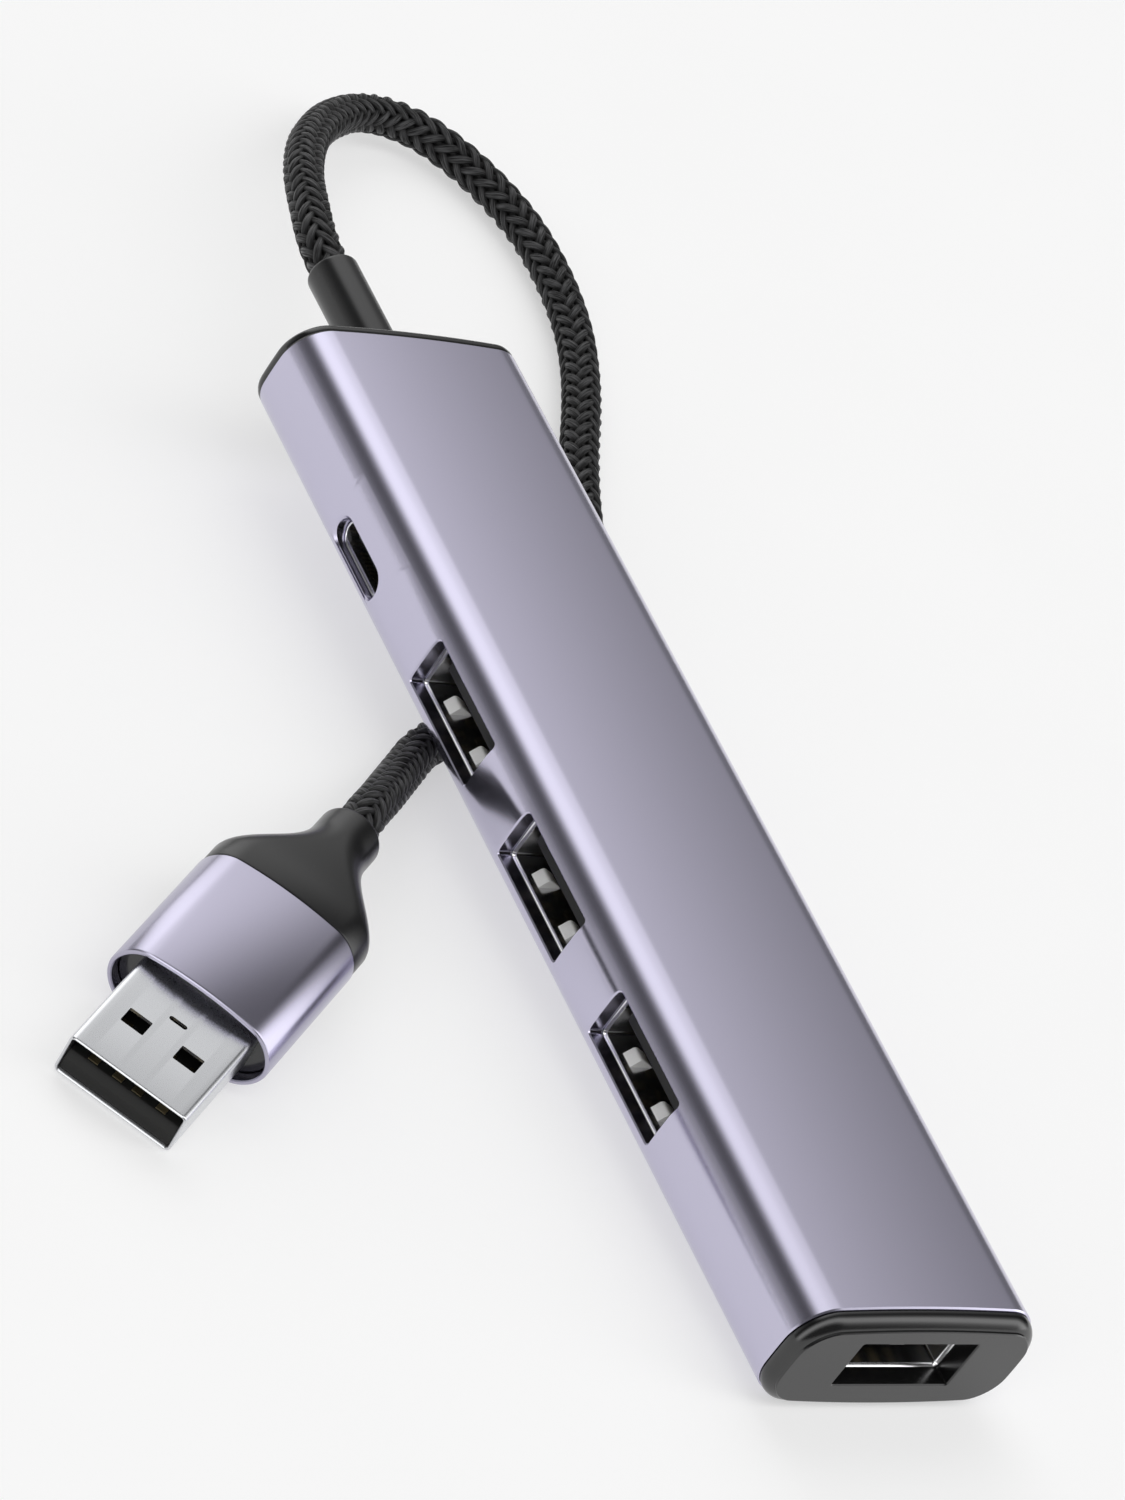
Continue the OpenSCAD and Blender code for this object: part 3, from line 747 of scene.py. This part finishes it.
def lead_path(step):
    """The lead's centreline in row millimetres, evenly spaced: exit, route, boot's neck."""
    neck = np.array(PLUG_TIP) + BOOT_Y[1] * plug_axis()
    knots = np.vstack([EXIT, ROUTE, neck])
    size = np.linalg.norm(np.diff(knots, axis=0), axis=1)
    slope = np.empty_like(knots)
    slope[1:-1] = (knots[2:] - knots[:-2]) / (size[1:] + size[:-1])[:, None]
    slope[0] = hub_heading()
    slope[-1] = -plug_axis()
    t = np.linspace(0, 1, 24, endpoint=False)[:, None]
    parts = []
    for i, length in enumerate(size):
        parts.append((2 * t ** 3 - 3 * t ** 2 + 1) * knots[i]
                     + (t ** 3 - 2 * t ** 2 + t) * length * slope[i]
                     + (3 * t ** 2 - 2 * t ** 3) * knots[i + 1]
                     + (t ** 3 - t ** 2) * length * slope[i + 1])
    line = np.vstack(parts + [knots[-1:]])
    along = np.r_[0, np.cumsum(np.linalg.norm(np.diff(line, axis=0), axis=1))]
    at = np.linspace(0, along[-1], int(round(along[-1] / step)) + 1)
    return np.stack([np.interp(at, along, line[:, k]) for k in range(3)], 1), along[-1]


def frames_along(path):
    """Unit tangent and two cross directions at every point, without twist."""
    tangent = np.gradient(path, axis=0)
    tangent /= np.linalg.norm(tangent, axis=1)[:, None]
    side = np.empty_like(path)
    first = np.cross(tangent[0], [0, 0, 1.0])
    side[0] = first / np.linalg.norm(first)
    for i in range(1, len(path)):
        v = side[i - 1] - side[i - 1].dot(tangent[i]) * tangent[i]
        side[i] = v / np.linalg.norm(v)
    return tangent, side, np.cross(side, tangent)


def yarn_lines(path, s, frames, way, carrier):
    """One yarn as lines along the lead, two over and two under the other family, each point
    marked with its place across the yarn, along it, and its height."""
    tangent, side, over = frames
    slant = math.atan(2 * math.pi * YARN_LAY_R / BRAID_PITCH)
    phase = 2 * carrier + way * 2 * CARRIERS * s / BRAID_PITCH
    wave = np.cos(math.pi / 2 * (phase - 0.5))
    centre_r = YARN_LAY_R + way * YARN_WAVE * wave
    turn = 2 * math.pi * (way * s / BRAID_PITCH + carrier / CARRIERS)
    own_grain = 3.0 * carrier + 60 * way
    points, marks = [], []
    for u, lift in YARN_SECTION:
        across = u * YARN_W
        a = turn + across * math.cos(slant) / YARN_LAY_R
        slip = -way * math.sin(slant) * across
        r = centre_r + lift
        points.append(path + slip * tangent + (r * np.cos(a))[:, None] * side
                      + (r * np.sin(a))[:, None] * over)
        # The height mark leads the braid finish's painted shade in the gaps and painted highlight on
        # the tops.
        height = np.clip((r - CORE_R) / (YARN_TOP_R - CORE_R), 0, 1)
        marks.append(np.stack([np.full(len(s), u + own_grain), s, height], 1))
    return points, marks


def core_lines(path, s, frames):
    """The dark core under the yarns as lines along the lead, marked at height nought so that the
    braid finish gives it the gaps' painted shade.
    """
    _, side, over = frames
    points, marks = [], []
    for k in range(CORE_SIDES):
        a = 2 * math.pi * k / CORE_SIDES
        points.append(path + CORE_R * (math.cos(a) * side + math.sin(a) * over))
        marks.append(np.stack([np.full(len(s), CORE_GRAIN), s, np.zeros(len(s))], 1))
    return points, marks


def quads_between(base, lines, n, closed, flip):
    """Quads between neighbouring lines of n points each."""
    k = np.arange(n - 1)
    quads = []
    for c in range(lines if closed else lines - 1):
        a = base + c * n + k
        b = base + (c + 1) % lines * n + k
        quad = np.stack([a, b, b + 1, a + 1], 1)
        quads.append(quad[:, ::-1] if flip else quad)
    return quads


def quad_mesh(name, points, faces, marks):
    """Mesh of quads whose points carry their marks as the attribute "yarn"."""
    mesh = bpy.data.meshes.new(name)
    mesh.vertices.add(len(points))
    mesh.vertices.foreach_set("co", points.ravel())
    mesh.loops.add(faces.size)
    mesh.loops.foreach_set("vertex_index", faces.ravel().astype(np.int32))
    mesh.polygons.add(len(faces))
    mesh.polygons.foreach_set("loop_start", np.arange(0, faces.size, 4, dtype=np.int32))
    mesh.update(calc_edges=True)
    yarn = mesh.attributes.new("yarn", "FLOAT_VECTOR", "POINT")
    yarn.data.foreach_set("vector", marks.astype(np.float32).ravel())
    mesh.shade_smooth()
    return mesh


def make_lead(finishes):
    """The braided lead: two families of flat yarns round a core that takes the gaps' painted shade.
    """
    path, length = lead_path(BRAID_STEP)
    frames = frames_along(path)
    s = np.linspace(0, length, len(path))
    points, faces, marks = [], [], []
    for way in (1, -1):
        for carrier in range(CARRIERS):
            faces += quads_between(len(points) * len(s), len(YARN_SECTION), len(s), False, way < 0)
            lines, line_marks = yarn_lines(path, s, frames, way, carrier)
            points += lines
            marks += line_marks
    base = len(points) * len(s)
    coarse = slice(None, None, CORE_STRIDE)
    lines, line_marks = core_lines(path[coarse], s[coarse], [f[coarse] for f in frames])
    faces += quads_between(base, CORE_SIDES, len(lines[0]), True, False)
    mesh = quad_mesh("lead_braid", np.vstack(points + lines) * MM, np.vstack(faces),
                     np.vstack(marks + line_marks))
    obj = bpy.data.objects.new("lead_braid", mesh)
    bpy.context.scene.collection.objects.link(obj)
    settle(obj, finishes["black_braid"], "black_braid", ["lead"])
    return obj, path, length


# ---------------------------------------------------------------- plug


def plug_outline(inset=0.0):
    """The steel shell's cross-section, drawn in by inset."""
    return outline(PLUG_W / 2 - inset, PLUG_H / 2 - inset, PLUG_CORNER - inset, n_w=36, n_h=14)


def plug_shell_skin():
    """Steel shell with rounded edges round its mouth."""
    skin = Skin()
    steps = ((PLUG_LEN, 0.0), (0.22, 0.0), (0.1, 0.02), (0.03, 0.07), (0.0, 0.13), (0.02, 0.2),
             (0.08, 0.26), (0.2, SHEET), (PLUG_LEN, SHEET))
    rows = [lay(plug_outline(i), y) for y, i in steps]
    skin.grid(rows + rows[:1])
    return skin


def plug_holes():
    """Two square latch holes through both broad sides, and a pill slot in the top."""
    skin = Skin()
    latch = outline(*LATCH_HALF, 0.12, n_w=10, n_h=10)
    slot = outline(*SLOT_HALF, 0.24, n_w=12, n_h=6)
    for x, y, ring, reach in ((-LATCH_PLACE[0], LATCH_PLACE[1], latch, (-4.0, 4.0)),
                              (LATCH_PLACE[0], LATCH_PLACE[1], latch, (-4.0, 4.0)),
                              (0.0, SLOT_Y, slot, (1.0, 4.0))):
        skin.solid([np.stack([x + ring[:, 0], y + ring[:, 1], np.full(len(ring), z)], 1)
                    for z in reach])
    return skin


def plug_tongue_skin():
    """Insulator filling the lower half of the shell, with a bevelled front edge."""
    skin = Skin()
    low = -PLUG_H / 2 + SHEET + 0.05
    top = low + TONGUE_T
    half = PLUG_W / 2 - SHEET - 0.05
    profile = ((0.4, low), (0.4, top - 0.75), (0.55, top - 0.55), (1.0, top - 0.05),
               (1.15, top), (14.0, top), (14.0, -low), (PLUG_LEN, -low), (PLUG_LEN, low))
    rows = [[(x, y, z) for y, z in profile] for x in (-half, -half + 0.05, half - 0.05, half)]
    skin.solid(rows)
    return skin


def sleeve_outline(inset=0.0):
    """The sleeve's cross-section, drawn in by inset."""
    return outline(SLEEVE_W / 2 - inset, SLEEVE_T / 2 - inset, SLEEVE_T / 2 - inset,
                   SLEEVE_CROWN, n_w=48, n_h=40)


def sleeve_skin():
    """Aluminium sleeve with a thin rounded rim."""
    skin = Skin()
    y0, y1 = SLEEVE_Y
    steps = ((y1, 0.2), (y1 - 0.2, 0.0), (y0 + 0.3, 0.0), (y0 + 0.12, 0.06), (y0 + 0.02, 0.2),
             (y0, 0.3), (y0 + 0.02, 0.38), (y0 + 0.12, 0.47), (y0 + 0.3, 0.5), (y1, 0.5))
    rows = [lay(sleeve_outline(i), y) for y, i in steps]
    skin.grid(rows + rows[:1])
    return skin


def core_skin():
    """Inner mould: face with a rounded rim, holding the plug's shell."""
    skin = Skin()
    hole = outline(PLUG_W / 2 + 0.02, PLUG_H / 2 + 0.02, PLUG_CORNER, n_w=48, n_h=40)
    steps = ((SLEEVE_Y[1], 0.52), (CORE_Y + 0.25, 0.52), (CORE_Y + 0.08, 0.6), (CORE_Y, 0.75))
    rows = [lay(sleeve_outline(i), y) for y, i in steps]
    rows += [lay(hole, CORE_Y), lay(hole, SLEEVE_Y[1])]
    skin.grid(rows + rows[:1])
    return skin


def boot_skin():
    """Boot: collar as wide as the sleeve, drawn in along an S curve to a round neck."""
    skin = Skin()
    y0, y1 = BOOT_Y
    rows = []

    def ring(y, f, inset=0.0):
        draw = (1 + math.cos(math.pi * f ** 0.8)) / 2
        w = NECK_R + (SLEEVE_W / 2 - 0.1 - NECK_R) * draw - inset
        t = NECK_R + (SLEEVE_T / 2 - 0.1 - NECK_R) * draw - inset
        return lay(outline(w, t, t, SLEEVE_CROWN * draw, n_w=48, n_h=40), y)

    rows.append(ring(y0, 0, 0.3))
    rows.append(ring(y0 + 0.1, 0, 0.05))
    rows.append(ring(y0 + 0.3, 0))
    for f in np.linspace(0, 1, 20):
        rows.append(ring(y0 + 2.6 + (y1 - y0 - 5.0) * f, f))
    for a in np.radians(np.linspace(0, 80, 7)):
        rows.append(ring(y1 - 0.5 + 0.5 * math.sin(a), 1, 0.5 - 0.5 * math.cos(a)))
    bore = outline(LEAD_R, LEAD_R, LEAD_R, n_w=48, n_h=40)
    rows += [lay(bore, y1 + 0.01), lay(bore, y0)]
    skin.grid(rows + rows[:1])
    return skin


def make_plug(finishes):
    """The plug's pieces, the shell with its holes cut."""
    shell = piece("plug_shell_steel", plug_shell_skin(), plug_place, finishes["plug_steel"],
                  "plug_steel", ["plug_shell"])
    carve(shell, welded_object("cutter", plug_holes(), plug_place))
    parts = [shell]
    for name, skin, finish, slot, node in (
        ("plug_insulator", plug_tongue_skin(), "insulator", "insulator", "plug_tongue"),
        # The sleeve takes the darker copy of the aluminium, a painted shade.
        ("plug_sleeve_shell", sleeve_skin(), "sleeve_aluminium_painted_shade", "anodised_aluminium",
         "plug_sleeve"),
        ("plug_inner_mould", core_skin(), "black_plastic", "black_plastic", "plug_core"),
        ("plug_strain_boot", boot_skin(), "black_rubber", "black_rubber", "plug_boot"),
    ):
        parts.append(piece(name, skin, plug_place, finishes[finish], slot, [node]))
    return parts


# ---------------------------------------------------------------- stage


def make_camera():
    """Long lens from the left, in front and above."""
    camera = bpy.data.cameras.new("camera")
    camera.lens = CAMERA_LENS
    camera.sensor_width = CAMERA_SENSOR
    camera.clip_start = 0.01
    camera.clip_end = 20
    obj = bpy.data.objects.new("camera", camera)
    columns = Matrix((CAMERA_RIGHT, CAMERA_UP, CAMERA_BACK)).transposed().to_4x4()
    columns.translation = Vector(CAMERA_PLACE)
    obj.matrix_world = columns
    bpy.context.scene.collection.objects.link(obj)
    bpy.context.scene.camera = obj


def make_floor():
    """Large pale floor, on which the hub stands."""
    skin = Skin()
    edge = np.linspace(-FLOOR_HALF, FLOOR_HALF, 9)
    skin.grid([[(x, y, 0.0) for x in edge] for y in edge], closed=False)
    mesh = bpy.data.meshes.new("floor")
    mesh.from_pydata((np.vstack(skin.points) * MM).tolist(), [], skin.faces)
    floor = bpy.data.objects.new("floor", mesh)
    floor.location.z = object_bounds()[0].z - FLOOR_GAP * MM
    material, nodes, links, bsdf = shader("floor_paper", (0.5, 0.5, 0.5), 0.0, 0.9, specular=0.1)
    tint(nodes, links, bsdf, noise(nodes, links, 30), (0.49, 0.49, 0.49), (0.51, 0.51, 0.51))
    bsdf.inputs["Emission Color"].default_value = (1, 1, 1, 1)
    bsdf.inputs["Emission Strength"].default_value = FLOOR_GLOW
    mesh.materials.append(material)
    bpy.context.scene.collection.objects.link(floor)


def level_ramp(nodes, links, value, unit, stops):
    """Brightness that follows a value through straight stretches between stops."""
    low, high = stops[0][0], stops[-1][0]
    peak = max(level for _, level in stops)
    span = nodes.new("ShaderNodeMapRange")
    span.inputs["From Min"].default_value = low * unit
    span.inputs["From Max"].default_value = high * unit
    links.new(value, span.inputs["Value"])
    ramp = nodes.new("ShaderNodeValToRGB")
    ramp.color_ramp.interpolation = "LINEAR"
    links.new(span.outputs["Result"], ramp.inputs["Fac"])
    elements = ramp.color_ramp.elements
    while len(elements) < len(stops):
        elements.new(0.5)
    for element, (at, level) in zip(elements, stops):
        element.position = (at - low) / (high - low)
        element.color = (level / peak, level / peak, level / peak, 1)
    scale = nodes.new("ShaderNodeVectorMath")
    scale.operation = "SCALE"
    scale.inputs["Scale"].default_value = peak
    links.new(ramp.outputs["Color"], scale.inputs["Vector"])
    return scale.outputs["Vector"]


def make_studio():
    """Studio light: softboxes along the hub, dimmer towards the front, and a strip in front."""
    scene = bpy.context.scene
    scene.view_settings.view_transform = "Standard"
    world = bpy.data.worlds.new("studio")
    scene.world = world
    world.use_nodes = True
    nodes = world.node_tree.nodes
    links = world.node_tree.links
    back = nodes["Background"]
    where = nodes.new("ShaderNodeTexCoord")
    parts = nodes.new("ShaderNodeSeparateXYZ")
    links.new(where.outputs["Generated"], parts.inputs["Vector"])
    angle = nodes.new("ShaderNodeMath")
    angle.operation = "ARCTAN2"
    links.new(parts.outputs["Z"], angle.inputs[0])
    links.new(parts.outputs["X"], angle.inputs[1])
    around = level_ramp(nodes, links, angle.outputs["Value"], math.pi / 180, SOFTBOX_PROFILE)
    lengthwise = level_ramp(nodes, links, parts.outputs["Y"], 1.0, LENGTHWISE_PROFILE)
    ahead = level_ramp(nodes, links, parts.outputs["Y"], 1.0, FRONT_PROFILE)
    top = nodes.new("ShaderNodeVectorMath")
    top.operation = "MULTIPLY"
    links.new(around, top.inputs[0])
    links.new(lengthwise, top.inputs[1])
    front = nodes.new("ShaderNodeMath")
    front.operation = "LESS_THAN"
    front.inputs[1].default_value = 0.0
    links.new(parts.outputs["Y"], front.inputs[0])
    mix = nodes.new("ShaderNodeMix")
    mix.data_type = "VECTOR"
    links.new(front.outputs["Value"], mix.inputs["Factor"])
    links.new(top.outputs["Vector"], mix.inputs["A"])
    links.new(ahead, mix.inputs["B"])
    links.new(mix.outputs["Result"], back.inputs["Color"])
    back.inputs["Strength"].default_value = 1.0


# ---------------------------------------------------------------- assembly


def dress_frame(frame, finishes):
    """Gives every CAD node that still shows the finish of its own slot."""
    for part in frame["record"]["subparts"]:
        mesh = frame["nodes"][part["node"]].data
        mesh.materials.clear()
        mesh.materials.append(finishes[part["material_slot"]])


def make_hub(finishes):
    """Tube, caps, strain relief and the five receptacles."""
    aluminium = finishes["anodised_aluminium"]
    piece("tube_shell", tube_skin(), hub_place, aluminium, "anodised_aluminium", ["housing"])
    for name, skin, node in (("front_end_cap", front_cap_skin(), "front_cap"),
                             ("rear_end_cap", rear_cap_skin(), "rear_cap")):
        piece(name, skin, hub_place, finishes["black_plastic"], "black_plastic", [node])
    piece("lead_relief", relief_skin(), hub_place, finishes["black_rubber"], "black_rubber",
          ["strain_relief"])
    places = {f"port_{i + 1}": side_place(PORT_MOUTH_X, y, PORT_Z)
              for i, y in enumerate(WINDOW_Y)}
    places["front_port"] = front_place
    for port, place in places.items():
        piece(f"{port}_steel", a_shell_skin(), place, finishes["sheet_steel"], "sheet_steel",
              [f"{port}_shell"])
        tabs = a_tabs_skin(FRONT_TAB_DEPTH if port == "front_port" else SIDE_TAB_DEPTH)
        # The steel tabs wear the white finish as a painted highlight.
        piece(f"{port}_tabs", tabs, place, finishes["tab_painted_highlight"], "sheet_steel", [])
        piece(f"{port}_insulator", a_tongue_skin(), place, finishes["insulator"], "insulator",
              [f"{port}_tongue"])
    inlet = side_place(INLET_MOUTH_X, INLET_Y, INLET_Z)
    piece("power_inlet_steel", c_shell_skin(), inlet, finishes["sheet_steel"], "sheet_steel",
          ["power_inlet_shell"])
    piece("power_inlet_insulator", c_tongue_skin(), inlet, finishes["insulator"], "insulator",
          ["power_inlet_tongue"])


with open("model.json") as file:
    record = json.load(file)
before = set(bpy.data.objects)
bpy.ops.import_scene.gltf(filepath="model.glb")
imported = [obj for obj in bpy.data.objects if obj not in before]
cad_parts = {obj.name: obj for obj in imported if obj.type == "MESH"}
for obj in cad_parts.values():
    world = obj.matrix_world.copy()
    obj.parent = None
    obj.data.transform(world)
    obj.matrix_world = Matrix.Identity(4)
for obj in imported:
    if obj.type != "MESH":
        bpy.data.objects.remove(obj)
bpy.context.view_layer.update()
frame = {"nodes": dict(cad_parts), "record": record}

make_camera()
finishes = make_finishes()
lead, lead_line, lead_length = make_lead(finishes)
plug_parts = make_plug(finishes)
dress_frame(frame, finishes)
make_hub(finishes)
make_floor()
make_studio()
